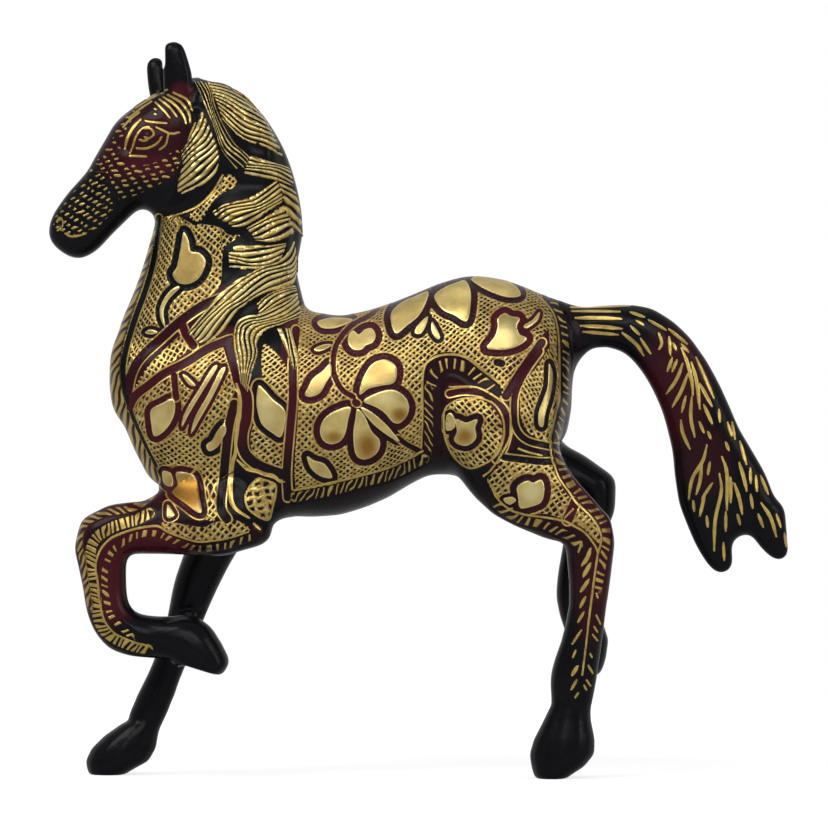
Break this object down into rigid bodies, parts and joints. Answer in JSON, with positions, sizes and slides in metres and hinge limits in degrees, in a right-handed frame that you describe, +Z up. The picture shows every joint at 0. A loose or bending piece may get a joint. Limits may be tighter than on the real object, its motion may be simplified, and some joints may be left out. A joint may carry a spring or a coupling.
{
  "type": "horse figurine",
  "caption": "Trotting horse ornament of cast brass with a raised foreleg and a forked tail, its dark lacquer chased through to bright metal in leaf and flower panels.",
  "frame": {"origin": "on the ground under the middle of the figure's length and width", "axes": "+Z up, the horse looks along -X, its left side faces -Y"},
  "size_m": [0.2496, 0.0602, 0.2471],
  "materials": {
    "engraved_lacquer": "cast brass under burgundy and black gloss lacquer, chased through to bright metal",
    "black_lacquer": "cast brass under plain black gloss lacquer",
    "bare_brass": "drawn brass rod, not polished"
  },
  "bodies": {
    "root": {"body_left_half": "engraved_lacquer", "body_right_half": "engraved_lacquer", "left_foreleg": "engraved_lacquer", "right_foreleg": "black_lacquer", "left_hind_leg": "engraved_lacquer", "right_hind_leg": "black_lacquer", "tail": "engraved_lacquer", "tail_stud": "bare_brass", "left_foreleg_pin": "bare_brass", "right_foreleg_pin": "bare_brass", "left_hind_leg_pin": "bare_brass", "right_hind_leg_pin": "bare_brass"}
  },
  "joints": []
}
